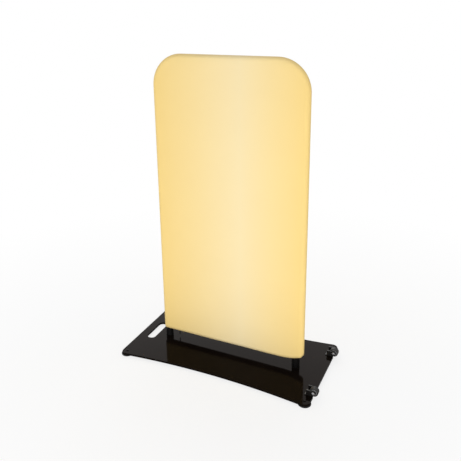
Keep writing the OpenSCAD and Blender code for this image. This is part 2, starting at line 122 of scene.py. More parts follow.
FACING_ROUNDING = 0.35 * MM
TAPE_ROUNDING = 0.25 * MM
RIPPLE_HEIGHT = 0.0012
TOOTH_PITCH = 2.4 * MM
TOOTH_WIDTH = 1.3 * MM
TOOTH_STAGGER = 0.2
HALF_SLIT = 0.9 * MM
STITCH_PITCH = 4 * MM
STITCH_LENGTH = 3 * MM
STITCH_RADIUS = 0.22 * MM
STITCH_ROWS = (1.6 * MM, 6.8 * MM)
STITCH_SINK = 0.02 * MM

# Solids that get rounded edges: the node or the start of its name, the slot, the rounding in millimetres

ZIP_PARTS = (
    ("zip_stops", "bright_steel", 0.3),
    ("zip_slider", "zip_metal", 0.22),
    ("zip_pull", "zip_metal", 0.25),
)
BASE_PARTS = (
    ("rubber_feet", "foot_rubber", 0.4),
    ("foot_screws", "black_screw", 0.25),
    ("foot_nuts", "zinc_steel", 0.2),
    ("spigot_left", "zinc_steel", 0.3),
    ("spigot_right", "zinc_steel", 0.3),
    ("spigot_bolts", "black_screw", 0.2),
)
WHEEL_PARTS = (
    ("wheel_bracket_", "bracket_black", 0.5),
    ("wheel_tyre_", "tyre_rubber", 0.5),
    ("wheel_hub_", "hub_plastic", 0.3),
    ("wheel_bush_", "bush_bronze", 0.15),
)
AXLE_PARTS = (
    ("bracket_screws", "black_screw", 0.2),
    ("axle_bolts", "bright_steel", 0.35),
    ("axle_nuts", "bright_steel", 0.3),
    ("wheel_washers", "bright_steel", 0.15),
)
BUTTON_PARTS = (
    ("button_", "bright_steel", 0.15),
    ("button_spring_", "spring_steel", 0.1),
)
RIVET_PARTS = (
    ("sleeve_rivets", "rivet_aluminium", 0.3),
)

# The stage: to the camera the floor is white, but less so near the sign, where its shadow shows. A lamp has
# its name, place, width and height, and the setting that holds its power

SENSOR_WIDTH = 36
FLOOR_SIZE = 40
FLOOR_GREY, FLOOR_PALE = (0.9, 0.9, 0.9, 1), (0.92, 0.92, 0.92, 1)
SHADOW_REACH = (0.4, 1.8)
WHITE_SHARE = (0.78, 1.0)
LAMP_AIM = Vector((0, 0, 0.3))
LAMPS = (
    ("key_lamp", Vector((0.8, -2.4, 0.3)), 2.8, 0.5, "key"),
    ("back_lamp", Vector((-1.5, 3.0, 2.25)), 3.8, 2.2, "back"),
)

# The Mix node's colour sockets, by number, because its other kinds of socket share their names

MIX_FIRST, MIX_SECOND, MIX_RESULT = 6, 7, 2


def srgb(red, green, blue):
    """A colour of the 0 to 255 scale as a linear colour with full alpha."""
    def linear(value):
        share = value / 255
        return share / 12.92 if share <= 0.04045 else ((share + 0.055) / 1.055) ** 2.4

    return (linear(red), linear(green), linear(blue), 1.0)


# Finishes

class Finish:
    """A procedural material on Object coordinates, built round one Principled shader."""

    def __init__(self, name, roughness=0.5, metallic=0.0, specular=0.5):
        self.material = bpy.data.materials.new(name)
        self.material.use_nodes = True
        self.tree = self.material.node_tree
        self.shader = self.tree.nodes["Principled BSDF"]
        self.shader.inputs["Metallic"].default_value = metallic
        self.shader.inputs["Roughness"].default_value = roughness
        self.shader.inputs["Specular IOR Level"].default_value = specular
        self.coordinates = self.tree.nodes.new("ShaderNodeTexCoord")

    def link(self, source, target):
        self.tree.links.new(source, target)

    def set(self, socket, value):
        """Gives a node's input a value, or links it if the value is an output."""
        if isinstance(value, bpy.types.NodeSocket):
            self.link(value, socket)
        else:
            socket.default_value = value

    def place(self, stretch=(1, 1, 1), source="Object"):
        """Object or UV coordinates, scaled per axis."""
        mapping = self.tree.nodes.new("ShaderNodeMapping")
        self.link(self.coordinates.outputs[source], mapping.inputs["Vector"])
        mapping.inputs["Scale"].default_value = stretch
        return mapping.outputs["Vector"]

    def axis(self, name):
        """One Object coordinate, as a number in metres."""
        split = self.tree.nodes.new("ShaderNodeSeparateXYZ")
        self.link(self.coordinates.outputs["Object"], split.inputs["Vector"])
        return split.outputs[name]

    def math(self, operation, first, second=0.0, third=0.0):
        node = self.tree.nodes.new("ShaderNodeMath")
        node.operation = operation
        for socket, value in zip(node.inputs, (first, second, third)):
            self.set(socket, value)
        return node.outputs["Value"]

    def speckle(self, scale, detail=3.0, rough=0.5, stretch=(1, 1, 1)):
        """Noise from 0 to 1 with features of about 1 / scale metres."""
        node = self.tree.nodes.new("ShaderNodeTexNoise")
        self.link(self.place(stretch), node.inputs["Vector"])
        node.inputs["Scale"].default_value = scale
        node.inputs["Detail"].default_value = detail
        node.inputs["Roughness"].default_value = rough
        return node.outputs["Fac"]

    def cells(self, scale):
        """Distance to the nearest of many scattered points."""
        node = self.tree.nodes.new("ShaderNodeTexVoronoi")
        self.link(self.place(), node.inputs["Vector"])
        node.inputs["Scale"].default_value = scale
        return node.outputs["Distance"]

    def threads(self, pitch, direction, source="UV"):
        """Parallel threads, one for each pitch, as a wave from 0 to 1."""
        node = self.tree.nodes.new("ShaderNodeTexWave")
        self.link(self.place(source=source), node.inputs["Vector"])
        node.bands_direction = direction
        node.wave_profile = "SIN"
        node.inputs["Scale"].default_value = math.pi / 10 / pitch
        return node.outputs["Fac"]

    def spread(self, value, low, high, to_low=0.0, to_high=1.0):
        """Maps a number from one range to another, and clamps it."""
        node = self.tree.nodes.new("ShaderNodeMapRange")
        self.set(node.inputs["Value"], value)
        for name, number in (("From Min", low), ("From Max", high), ("To Min", to_low), ("To Max", to_high)):
            node.inputs[name].default_value = number
        return node.outputs["Result"]

    def blend(self, share, first, second, kind="MIX"):
        """Two colours mixed by a share."""
        node = self.tree.nodes.new("ShaderNodeMix")
        node.data_type = "RGBA"
        node.blend_type = kind
        self.set(node.inputs["Factor"], share)
        self.set(node.inputs[MIX_FIRST], first)
        self.set(node.inputs[MIX_SECOND], second)
        return node.outputs[MIX_RESULT]

    def colour(self, value):
        self.set(self.shader.inputs["Base Color"], value)

    def roughness(self, value):
        self.set(self.shader.inputs["Roughness"], value)

    def bump(self, *layers):
        """Bumps on top of each other, each a height with its depth in metres."""
        normal = None
        for height, depth in layers:
            node = self.tree.nodes.new("ShaderNodeBump")
            node.inputs["Strength"].default_value = 1.0
            node.inputs["Distance"].default_value = depth
            self.link(height, node.inputs["Height"])
            if normal is not None:
                self.link(normal, node.inputs["Normal"])
            normal = node.outputs["Normal"]
        self.link(normal, self.shader.inputs["Normal"])


def painted(name, colour, roughness, specular, grain, grain_depth, worn, tint=(1, 1, 1, 1)):
    """A coat of lacquer or powder over steel, with a fine peel, faint dust and rubbed spots."""
    coat = Finish(name, roughness=roughness, specular=specular)
    coat.shader.inputs["Specular Tint"].default_value = tint
    cloud = coat.speckle(9, detail=4)
    dust = coat.spread(coat.speckle(260, detail=2), 0.62, 0.8)
    base = coat.blend(coat.spread(cloud, 0.3, 0.7, 0.0, 0.35), colour, worn)
    coat.colour(coat.blend(coat.math("MULTIPLY", dust, 0.12), base, worn))
    coat.roughness(coat.spread(cloud, 0.3, 0.75, roughness * 0.85, roughness * 1.35))
    coat.bump((coat.speckle(grain, detail=2), grain_depth))
    return coat.material


def metal(name, colour, roughness, streak, tarnish):
    """Bare or plated steel with fine tool marks along an axis and slightly uneven colour."""
    steel = Finish(name, roughness=roughness, metallic=1.0)
    marks = steel.speckle(900, detail=4, rough=0.7, stretch=streak)
    stain = steel.spread(steel.speckle(140, detail=5, rough=0.6), 0.45, 0.75, 0.0, 0.7)
    steel.colour(steel.blend(stain, colour, tarnish))
    steel.roughness(steel.spread(marks, 0.2, 0.8, roughness * 0.7, roughness * 1.4))
    steel.bump((marks, 0.00002))
    return steel.material


def moulded(name, colour, roughness, grain, depth, bloom):
    """Rubber or plastic from a mould: an eroded grain and a slight grey bloom."""
    body = Finish(name, roughness=roughness, specular=0.35)
    haze = body.spread(body.speckle(60, detail=5, rough=0.6), 0.4, 0.8, 0.0, 0.6)
    body.colour(body.blend(haze, colour, bloom))
    body.roughness(body.spread(haze, 0.0, 0.6, roughness, min(1.0, roughness * 1.2)))
    body.bump((body.speckle(grain, detail=3), depth), (body.cells(grain / 3), depth / 2))
    return body.material


def woven(name, colour, shade, pitch, depth, sheen):
    """Woven tape or cloth on Object coordinates: two thread directions and a fibrous noise."""
    cloth = Finish(name, roughness=0.85, specular=0.15)
    cloth.shader.inputs["Sheen Weight"].default_value = sheen
    along = cloth.threads(pitch, "X", "Object")
    across = cloth.threads(pitch * 1.3, "Y", "Object")
    weave = cloth.math("MULTIPLY", along, across)
    fibre = cloth.speckle(2200, detail=3, rough=0.7)
    tone = cloth.math("MULTIPLY_ADD", weave, -0.35, fibre)
    cloth.colour(cloth.blend(cloth.spread(tone, 0.0, 0.9, 0.0, 0.8), shade, colour))
    cloth.bump((weave, depth), (fibre, depth / 3))
    return cloth.material


def cover_painted_highlight(edge, quarter, middle, highlight_x):
    """The cover's knit: a gradient with one palest line, a painted highlight that goes over to painted shade
    towards both sides, fine stitches, a seam along the band.
    """
    cloth = Finish("printed_knit", roughness=0.8, specular=0.12)
    cloth.shader.inputs["Sheen Weight"].default_value = 0.08
    cloth.shader.inputs["Sheen Roughness"].default_value = 0.4
    # Painted highlight and shade: the colour is palest along one line and darker towards both sides, as light
    # falls on a rounded face
    ramp = cloth.tree.nodes.new("ShaderNodeValToRGB")
    cloth.link(cloth.spread(cloth.axis("X"), EDGE_LOW.x, EDGE_HIGH.x), ramp.inputs["Fac"])
    stops = ramp.color_ramp.elements
    stops[0].color = stops[1].color = edge
    palest = (highlight_x - EDGE_LOW.x) / (EDGE_HIGH.x - EDGE_LOW.x)
    for place, colour in ((palest / 2, quarter), (palest, middle), ((palest + 1) / 2, quarter)):
        stops.new(place).color = colour
    rows = cloth.threads(0.9 * MM, "Y")
    wales = cloth.threads(0.7 * MM, "X")
    knit = cloth.math("MULTIPLY", rows, wales)
    fibre = cloth.speckle(1500, detail=3, rough=0.7)
    cloud = cloth.speckle(7, detail=3)
    shade = cloth.blend(1.0, ramp.outputs["Color"], (0.965, 0.955, 0.93, 1), "MULTIPLY")
    tone = cloth.math("MULTIPLY_ADD", cloud, 0.5, cloth.math("MULTIPLY", knit, 0.35))
    colour = cloth.blend(cloth.spread(tone, 0.15, 0.6, 0.75, 0.0), ramp.outputs["Color"], shade)
    beside = cloth.math("ABSOLUTE", cloth.axis("Y"))
    seam = cloth.spread(beside, 0.3 * MM, 0.9 * MM, 1.0, 0.0)
    dark = cloth.blend(1.0, ramp.outputs["Color"], (0.86, 0.83, 0.76, 1), "MULTIPLY")
    cloth.colour(cloth.blend(cloth.math("MULTIPLY", seam, 0.6), colour, dark))
    groove = cloth.math("MULTIPLY", seam, -1.0)
    cloth.bump((groove, 0.3 * MM), (knit, 0.04 * MM), (fibre, 0.02 * MM))
    return cloth.material


def make_finishes(colours):
    """Every finish by its slot's name."""
    steel_grey, tarnish = (0.62, 0.62, 0.64, 1), (0.42, 0.41, 0.41, 1)
    warm_gloss = (1.0, 0.74, 0.62, 1)
    return {
        "plate_lacquer": painted(
            "black_lacquer", colours.plate, 0.07, 0.028, 160, 0.01 * MM, srgb(26, 21, 18), warm_gloss),
        "bracket_black": painted(
            "bracket_coat", srgb(16, 14, 13), 0.32, 0.35, 1400, 0.02 * MM, srgb(40, 38, 36)),
        "tube_black": painted("tube_coat", srgb(9, 8, 8), 0.35, 0.2, 1500, 0.02 * MM, srgb(26, 24, 23)),
        "zip_metal": painted("zip_lacquer", srgb(16, 15, 15), 0.35, 0.4, 2500, 0.01 * MM, srgb(60, 58, 56)),
        "foot_rubber": moulded("foot_rubber", srgb(22, 21, 21), 0.75, 1200, 0.04 * MM, srgb(44, 43, 42)),
        "tyre_rubber": moulded("tyre_rubber", srgb(27, 25, 24), 0.5, 1500, 0.03 * MM, srgb(44, 42, 40)),
        "hub_plastic": moulded(
            "hub_plastic", srgb(140, 140, 142), 0.35, 2500, 0.01 * MM, srgb(120, 119, 117)),
        "zip_plastic": moulded("zip_plastic", srgb(30, 30, 31), 0.4, 3000, 0.01 * MM, srgb(48, 48, 48)),
        "black_screw": metal(
            "black_oxide", (0.009, 0.008, 0.008, 1), 0.35, (1, 1, 3), (0.02, 0.018, 0.016, 1)),
        "zinc_steel": metal("zinc_plate", steel_grey, 0.3, (1, 1, 0.04), tarnish),
        "bright_steel": metal("bright_zinc", (0.42, 0.42, 0.44, 1), 0.32, (1, 0.1, 1), (0.36, 0.35, 0.34, 1)),
        "spring_steel": metal("spring_steel", (0.36, 0.37, 0.42, 1), 0.28, (1, 1, 0.05), (0.2, 0.2, 0.26, 1)),
        "bush_bronze": metal("bush_bronze", (0.62, 0.42, 0.2, 1), 0.3, (1, 0.05, 1), (0.4, 0.26, 0.12, 1)),
        "rivet_aluminium": metal(
            "rivet_aluminium", (0.76, 0.77, 0.78, 1), 0.35, (1, 1, 1), (0.55, 0.55, 0.55, 1)),
        # The cover's colours carry a painted highlight and shade across its face
        "cover_cloth": cover_painted_highlight(
            colours.cover_edge, colours.highlight_quarter, colours.highlight_middle, colours.highlight_x),
        "hem_cloth": woven("hem_cloth", colours.cover_edge, srgb(216, 184, 112), 0.7 * MM, 0.05 * MM, 0.1),
        "zip_tape": woven("zip_tape", srgb(34, 34, 36), srgb(14, 14, 15), 0.6 * MM, 0.08 * MM, 0.1),
    }


# The finishes by slot, once their operator has run

FINISHES = {}


# Pieces

def piece(name, mesh, body, slot, replaces=()):
    """Links a finished mesh, at the origin, to its body and its finish."""
    shown = bpy.data.objects.new(name, mesh)
    bpy.context.scene.collection.objects.link(shown)
    shown.data.materials.clear()
    shown.data.materials.append(FINISHES[slot])
    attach(shown, body)
    if replaces:
        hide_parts(*replaces)
    return shown


def to_mesh(bm, name, smooth_angle=35):
    """Ends a bmesh as a mesh whose edges are smooth below an angle."""
    mesh = bpy.data.meshes.new(name)
    bm.to_mesh(mesh)
    bm.free()
    mesh.polygons.foreach_set("use_smooth", [True] * len(mesh.polygons))
    mesh.set_sharp_from_angle(angle=math.radians(smooth_angle))
    return mesh


def weighted_normals(bm, mesh):
    """Shades a mesh by its larger faces, so that flat faces beside a rounding stay flat."""
    normals = []
    for vert in bm.verts:
        total = Vector()
        for face in vert.link_faces:
            total += face.normal * face.calc_area()
        normals.append(total.normalized())
    bm.to_mesh(mesh)
    mesh.polygons.foreach_set("use_smooth", [True] * len(mesh.polygons))
    mesh.normals_split_custom_set_from_vertices(normals)


def softened(node, slot, width):
    """A copy of a solid with its sharp edges rounded, in the solid's place."""
    solid = frame["nodes"][node]
    bm = bmesh.new()
    bm.from_mesh(solid.data)
    bmesh.ops.remove_doubles(bm, verts=bm.verts, dist=MERGE)
    bmesh.ops.dissolve_limit(bm, angle_limit=FLAT_ANGLE, verts=bm.verts, edges=bm.edges)
    sharp = [edge for edge in bm.edges if edge.is_manifold and edge.calc_face_angle() > SHARP_ANGLE]
    bmesh.ops.bevel(bm, geom=sharp, offset=width, offset_type="OFFSET", segments=ROUNDING_STEPS,
                    profile=0.5, affect="EDGES", clamp_overlap=True, material=-1)
    bm.normal_update()
    mesh = bpy.data.meshes.new(node + "_soft")
    weighted_normals(bm, mesh)
    bm.free()
    return piece(node + "_soft", mesh, solid["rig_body"], slot, [node])


def soften_parts(parts, end=""):
    """Rounds and dresses a group of solids, whose names go on with the end that they stand at."""
    for node, slot, rounding in parts:
        softened(node + end, slot, rounding * MM)


def dress_node(node, slot):
    """Keeps a solid as it is and gives it its finish."""
    shown = frame["nodes"][node]
    shown.data.materials.clear()
    shown.data.materials.append(FINISHES[slot])


def extrude_along(bm, edges, steps, step_matrix):
    """Sweeps an open profile in equal steps, and returns its last edges."""
    for _ in range(steps):
        made = bmesh.ops.extrude_edge_only(bm, edges=edges)["geom"]
        edges = [e for e in made if isinstance(e, bmesh.types.BMEdge)]
        verts = [v for v in made if isinstance(v, bmesh.types.BMVert)]
        bmesh.ops.transform(bm, matrix=step_matrix, verts=verts)
        edges = [e for e in edges if e.verts[0] in verts and e.verts[1] in verts]
    return edges


def move_by(x, y, z):
    return Matrix.Translation((x, y, z))


def turn_about(centre, angle):
    """A turn about an axis along Y."""
    return Matrix.Translation(centre) @ Matrix.Rotation(angle, 4, "Y") @ Matrix.Translation(-Vector(centre))


def smooth_step(value, low, high):
    """A share that eases from 0 at the low value to 1 at the high one."""
    share = min(1.0, max(0.0, (value - low) / (high - low)))
    return share * share * (3 - 2 * share)


def hem_lift(x, sizes):
    """How far the hem rises at x: an arc that lifts the right corner, ending in a small round corner."""
    start = EDGE_HIGH.x - sizes.ease_length
    if x <= start:
        return 0.0
    radius = (sizes.ease_length ** 2 + sizes.ease_rise ** 2) / (2 * sizes.ease_rise)
    corner_x = EDGE_HIGH.x + sizes.ease_over - sizes.ease_corner
    reach = corner_x - start
    touch = start + reach * radius / (radius - sizes.ease_corner)
    if x <= touch:
        return radius - math.sqrt(radius ** 2 - (x - start) ** 2)
    corner_z = radius - math.sqrt((radius - sizes.ease_corner) ** 2 - reach ** 2)
    return corner_z - math.sqrt(max(0.0, sizes.ease_corner ** 2 - (x - corner_x) ** 2))


def cloth_ripple(co):
    """Slight slackness of the flat faces near the hem, away from the legs."""
    from_leg = min(abs(co.x - LEG_X[0]), abs(co.x - LEG_X[1]))
    free = smooth_step(from_leg, LEG_RADIUS, 4 * LEG_RADIUS) * (1 - smooth_step(co.z - HEM_Z, 0.02, 0.45))
    wave = noise.noise(Vector((co.x * 9, 3.7 if co.y > 0 else 0.0, co.z * 4)))
    return RIPPLE_HEIGHT * free * wave


def unrolled(co):
    """The place of a point of the sleeve on its flat cut."""
    path = Vector((min(max(co.x, PATH_X[0]), PATH_X[1]), min(co.z, PATH_Z)))
    centre_x = min(max(co.x, PATH_X[0] + BEND_RADIUS), PATH_X[1] - BEND_RADIUS)
    if co.z > BEND_Z:
        spoke = Vector((co.x - centre_x, co.z - BEND_Z))
        if spoke.length <= BEND_RADIUS:
            return co.x, co.z
        path = Vector((centre_x, BEND_Z)) + spoke.normalized() * BEND_RADIUS
    outward = Vector((co.x, co.z)) - path
    if outward.length < MERGE:
        return co.x, co.z
    arc = WRAP_RADIUS * math.atan2(outward.length, abs(co.y))
    place = path + outward.normalized() * arc
    return place.x, place.y


def sweep_band(bm, band_steps):
    """The half-round band: an arc at the hem, swept up one side, over the bow and down the other side."""
    first = bmesh.ops.create_vert(bm, co=(PATH_X[0], -WRAP_RADIUS, HEM_Z))["vert"]
    bmesh.ops.spin(bm, geom=first, cent=(PATH_X[0], 0, HEM_Z), axis=(0, 0, 1), angle=-math.pi,
                   steps=band_steps, use_duplicate=False)
    edges = list(bm.edges)
    top = PATH_X[1] - PATH_X[0] - 2 * BEND_RADIUS
    bend_turn = math.pi / 2 / BEND_STEPS
    for steps, matrix in (
        (HEM_STEPS, move_by(0, 0, HEM_PART / HEM_STEPS)),
        (SIDE_STEPS, move_by(0, 0, SIDE_PART / SIDE_STEPS)),
        (BEND_STEPS, turn_about((PATH_X[0] + BEND_RADIUS, 0, BEND_Z), bend_turn)),
        (TOP_STEPS, move_by(top / TOP_STEPS, 0, 0)),
        (BEND_STEPS, turn_about((PATH_X[1] - BEND_RADIUS, 0, BEND_Z), bend_turn)),
        (SIDE_STEPS, move_by(0, 0, -SIDE_PART / SIDE_STEPS)),
        (HEM_STEPS, move_by(0, 0, -HEM_PART / HEM_STEPS)),
    ):
        edges = extrude_along(bm, edges, steps, matrix)


def fill_faces(bm):
    """Closes the band's two open sides with flat faces, whose hem stays open between them."""
    for side in SIDES:
        rim_y = side * WRAP_RADIUS
        rim = [e for e in bm.edges if e.is_boundary and all(abs(v.co.y - rim_y) < TOUCH for v in e.verts)]
        ends = [v for e in rim for v in e.verts if abs(v.co.z - HEM_Z) < HEM_TOUCH]
        hem = bmesh.ops.contextual_create(bm, geom=ends)["edges"]
        bmesh.ops.contextual_create(bm, geom=rim + hem)


def cut_grid(bm, columns):
    """Cuts the flat faces into a grid, merges its seams and points every face outwards."""
    levels = [HEM_Z + HEM_PART * n / HEM_STEPS for n in range(1, HEM_STEPS + 1)]
    levels += [HEM_Z + HEM_PART + SIDE_PART * n / SIDE_STEPS for n in range(1, SIDE_STEPS + 1)]
    levels += [BEND_Z + BEND_RADIUS * n / BEND_LEVELS for n in range(1, BEND_LEVELS)]
    lines = [PATH_X[0] + (PATH_X[1] - PATH_X[0]) * n / columns for n in range(1, columns)]
    for place, normal in [((0, 0, z), (0, 0, 1)) for z in levels] + [((x, 0, 0), (1, 0, 0)) for x in lines]:
        geometry = list(bm.verts) + list(bm.edges) + list(bm.faces)
        bmesh.ops.bisect_plane(bm, geom=geometry, dist=TOUCH, plane_co=place, plane_no=normal)
    bmesh.ops.remove_doubles(bm, verts=bm.verts, dist=TOUCH)
    bmesh.ops.recalc_face_normals(bm, faces=bm.faces)
    if max(bm.faces, key=lambda f: f.calc_center_median().z).normal.z < 0:
        bmesh.ops.reverse_faces(bm, faces=bm.faces)


def sleeve_mesh(sizes):
    """The cover as one cloth sleeve, with its flat cut as a UV map, its ripples and its rising hem."""
    bm = bmesh.new()
    sweep_band(bm, sizes.band_steps)
    fill_faces(bm)
    cut_grid(bm, sizes.columns)
    cut = bm.loops.layers.uv.new("cut")
    for face in bm.faces:
        for loop in face.loops:
            loop[cut].uv = unrolled(loop.vert.co)
    for vert in bm.verts:
        co = vert.co
        on_face = abs(abs(co.y) - WRAP_RADIUS) < TOUCH
        lift = hem_lift(co.x, sizes)
        fade = 1 - smooth_step(co.z - HEM_Z, 0.0, HEM_PART)
        if on_face:
            co.y += cloth_ripple(co)
        co.z += lift * fade
    return to_mesh(bm, "cover_sleeve", SLEEVE_SMOOTH)


def cloth_strip(node, rounding, slot):
    """A folded or woven strip along X with rounded edges, in a node's place."""
    low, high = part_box(node)
    bm = bmesh.new()
    place = Matrix.Translation((low + high) / 2) @ Matrix.Diagonal((*(high - low), 1))
    bmesh.ops.create_cube(bm, size=1, matrix=place)
    bmesh.ops.bevel(bm, geom=list(bm.edges), offset=rounding, offset_type="OFFSET", segments=2, profile=0.5,
                    affect="EDGES", clamp_overlap=True, material=-1)
    return piece(node + "_cloth", to_mesh(bm, node + "_cloth"), "frame", slot, [node])


def repeated(name, unit, places, slot, body, replaces=()):
    """One small form set at many places, as a single piece."""
    bm = bmesh.new()
    form = bpy.data.meshes.new(name + "_unit")
    unit.to_mesh(form)
    unit.free()
    for matrix in places:
        before = len(bm.verts)
        bm.from_mesh(form)
        bm.verts.ensure_lookup_table()
        bmesh.ops.transform(bm, matrix=matrix, verts=bm.verts[before:])
    bpy.data.meshes.remove(form)
    return piece(name, to_mesh(bm, name, 50), body, slot, replaces)


def stitch_unit(length, radius):
    """A stitch: a short thread that rises out of the cloth and dips into it again."""
    bm = bmesh.new()
    bmesh.ops.create_icosphere(bm, subdivisions=1, radius=1,
                               matrix=Matrix.Diagonal((length / 2, radius, radius, 1)))
    return bm


def tooth_unit(width, depth, height):
    """A moulded zip tooth: a block with a narrower head towards the other row."""
    head_scale = Matrix.Diagonal((0.7, 1, 0.8, 1))
    rounding = width * 0.12
    bm = bmesh.new()
    bmesh.ops.create_cube(bm, size=1, matrix=Matrix.Diagonal((width, depth, height, 1)))
    head = [f for f in bm.faces if f.normal.y < -0.9]
    bmesh.ops.transform(bm, matrix=head_scale, verts=list({v for f in head for v in f.verts}))
    bmesh.ops.bevel(bm, geom=list(bm.edges), offset=rounding, offset_type="OFFSET", segments=1,
                    profile=0.5, affect="EDGES", clamp_overlap=True, material=-1)
    return bm


# Settings

class SignColours(bpy.types.PropertyGroup):
    """Colours that a user would change."""

    # The edge, quarter and middle colours and the palest line are the steps of a painted highlight across the
    # cover, with painted shade towards both sides
    cover_edge: bpy.props.FloatVectorProperty(
        name="Cover edge", description="Print colour at the cover's two sides", subtype="COLOR", size=4,
        default=srgb(252, 220, 141), min=0, max=1)
    highlight_quarter: bpy.props.FloatVectorProperty(
        name="Cover quarter", description="Print colour halfway to the middle", subtype="COLOR", size=4,
        default=srgb(253, 227, 163), min=0, max=1)
    highlight_middle: bpy.props.FloatVectorProperty(
        name="Cover middle", description="Print colour along the middle", subtype="COLOR", size=4,
        default=srgb(253, 233, 184), min=0, max=1)
    highlight_x: bpy.props.FloatProperty(
        name="Palest line", description="Where across the cover the gradient is palest", default=0.049,
        min=-0.1, max=0.1, unit="LENGTH")
    plate: bpy.props.FloatVectorProperty(
        name="Plate", description="Lacquer of the base plate", subtype="COLOR", size=4,
        default=srgb(15, 11, 9), min=0, max=1)


class SignSizes(bpy.types.PropertyGroup):
    """Sizes of the cloth and its fineness."""

    ease_length: bpy.props.FloatProperty(
        name="Ease length", description="Length of the hem's rising end", default=0.09, min=0.075, max=0.1,
        unit="LENGTH")
    ease_rise: bpy.props.FloatProperty(
        name="Ease rise", description="How far the hem rises at its right end", default=0.018, min=0.012,
        max=0.024, unit="LENGTH")
    ease_corner: bpy.props.FloatProperty(
        name="Ease corner", description="Radius of the hem's right corner", default=0.015, min=0.01,
        max=0.018, unit="LENGTH")
    ease_over: bpy.props.FloatProperty(
        name="Ease overrun", description="How far the corner's arc runs past the cloth", default=0.0015,
        min=0.001, max=0.003, unit="LENGTH")
    band_steps: bpy.props.IntProperty(
        name="Band steps", description="Faces across the half-round band", default=16, min=8, max=32)
    columns: bpy.props.IntProperty(
        name="Columns", description="Faces across each flat side", default=56, min=20, max=90)
    edge_width: bpy.props.FloatProperty(
        name="Edge", description="Rounding of the plate's edges", default=0.0005, min=0.0002, max=0.001,
        unit="LENGTH")


class SignStage(bpy.types.PropertyGroup):
    """The photograph's view and the studio."""

    camera_place: bpy.props.FloatVectorProperty(
        name="Camera", description="Where the camera stands", subtype="TRANSLATION", unit="LENGTH",
        default=(0.86927, -1.87363, 1.38411))
    azimuth: bpy.props.FloatProperty(
        name="Azimuth", description="Turn of the view about Z", subtype="ANGLE", unit="ROTATION",
        default=math.radians(26.488))
    pitch: bpy.props.FloatProperty(
        name="Pitch", description="How far the view looks down", subtype="ANGLE", unit="ROTATION",
        default=math.radians(17.342))
    roll: bpy.props.FloatProperty(
        name="Roll", description="Tilt of the picture", subtype="ANGLE", unit="ROTATION",
        default=math.radians(-1.192))
    lens: bpy.props.FloatProperty(
        name="Lens", description="Focal length", subtype="DISTANCE_CAMERA", default=46.509)
    shift: bpy.props.FloatVectorProperty(
        name="Shift", description="Shift of the picture, as shares of its width", size=2,
        default=(0.0375, -0.11841))
    fill: bpy.props.FloatProperty(
        name="Fill", description="Strength of the even studio light", default=0.58, min=0, max=1)
    key: bpy.props.FloatProperty(
        name="Key", description="Power of the big front lamp", default=31, min=0, max=300, unit="POWER")
    back: bpy.props.FloatProperty(
        name="Back", description="Power of the softbox that the plate mirrors", default=60, min=0, max=300,
        unit="POWER")


# Operators

